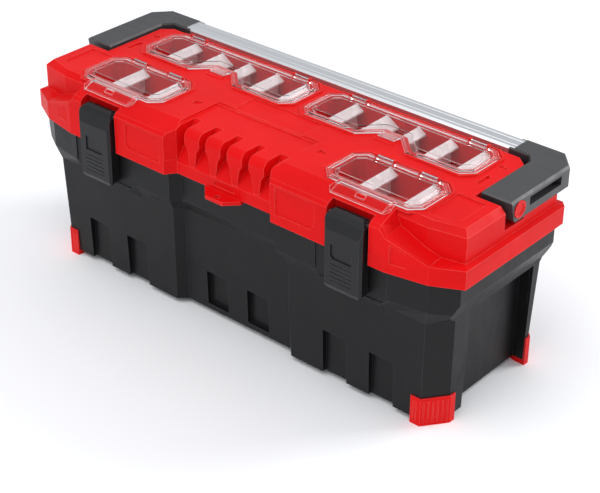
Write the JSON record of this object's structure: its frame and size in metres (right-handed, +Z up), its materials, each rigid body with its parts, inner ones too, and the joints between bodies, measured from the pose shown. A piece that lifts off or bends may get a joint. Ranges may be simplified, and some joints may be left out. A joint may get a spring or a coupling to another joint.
{
  "type": "toolbox with tray",
  "caption": "Long plastic toolbox with a hinged lid, clear organiser covers, two front latches, a fold-back carrying handle and a lift-out tray.",
  "frame": {"origin": "on the floor, at the middle of the overall length and depth", "axes": "+X along the box to its right end, -Y out of the latched front, +Z up"},
  "size_m": [0.752, 0.29, 0.301],
  "materials": {
    "red_plastic": "fine moulded texture",
    "black_plastic": "fine moulded texture",
    "clear_plastic": "clear moulded plastic",
    "divider_plastic": "smooth, translucent",
    "aluminium": "satin, extruded",
    "steel_pin": "drawn wire"
  },
  "bodies": {
    "root": {"tub": "black_plastic", "foot_front_left": "red_plastic", "foot_front_right": "red_plastic", "foot_rear_left": "red_plastic", "foot_rear_right": "red_plastic", "lid_hinge_pins": "steel_pin"},
    "lid": {"lid_shell": "red_plastic", "padlock_lug": "red_plastic", "latch_pins": "steel_pin", "cover_pins": "steel_pin", "dividers_front_left": "divider_plastic", "dividers_front_right": "divider_plastic", "dividers_rear_left": "divider_plastic", "dividers_rear_right": "divider_plastic", "pivot_cap_left": "red_plastic", "pivot_cap_right": "red_plastic"},
    "handle": {"handle_bar": "aluminium", "handle_arm_left": "black_plastic", "handle_arm_right": "black_plastic"},
    "tray": {"tray": "black_plastic", "tray_grip": "red_plastic"},
    "latch_left": {"latch_left": "black_plastic"},
    "cover_front_left": {"cover_front_left": "clear_plastic"},
    "cover_rear_left": {"cover_rear_left": "clear_plastic"},
    "latch_right": {"latch_right": "black_plastic"},
    "cover_front_right": {"cover_front_right": "clear_plastic"},
    "cover_rear_right": {"cover_rear_right": "clear_plastic"}
  },
  "joints": [
    {"name": "lid_hinge", "type": "hinge", "parent": "root", "child": "lid", "pos_m": [0, 0.118, 0.225], "axis": [-1, 0, 0], "range_deg": [0, 95]},
    {"name": "handle_pivot", "type": "hinge", "parent": "lid", "child": "handle", "pos_m": [0, 0.008, 0.285], "axis": [1, 0, 0], "range_deg": [0, 90]},
    {"name": "tray_lift", "type": "slide", "parent": "root", "child": "tray", "axis": [0, 0, 1], "range_m": [0, 0.06]},
    {"name": "latch_left_pivot", "type": "hinge", "parent": "lid", "child": "latch_left", "pos_m": [-0.22, -0.129, 0.272], "axis": [-1, 0, 0], "range_deg": [0, 95]},
    {"name": "cover_front_left_hinge", "type": "hinge", "parent": "lid", "child": "cover_front_left", "pos_m": [-0.22, -0.016, 0.2982], "axis": [-1, 0, 0], "range_deg": [0, 90]},
    {"name": "cover_rear_left_hinge", "type": "hinge", "parent": "lid", "child": "cover_rear_left", "pos_m": [-0.15, 0.097, 0.2982], "axis": [-1, 0, 0], "range_deg": [0, 100]},
    {"name": "latch_right_pivot", "type": "hinge", "parent": "lid", "child": "latch_right", "pos_m": [0.22, -0.129, 0.272], "axis": [-1, 0, 0], "range_deg": [0, 95]},
    {"name": "cover_front_right_hinge", "type": "hinge", "parent": "lid", "child": "cover_front_right", "pos_m": [0.22, -0.016, 0.2982], "axis": [-1, 0, 0], "range_deg": [0, 90]},
    {"name": "cover_rear_right_hinge", "type": "hinge", "parent": "lid", "child": "cover_rear_right", "pos_m": [0.15, 0.097, 0.2982], "axis": [-1, 0, 0], "range_deg": [0, 100]}
  ],
  "couplings": [
    {"joint": "tray_lift", "follows": "lid_hinge", "m_per_rad": 0.036}
  ]
}
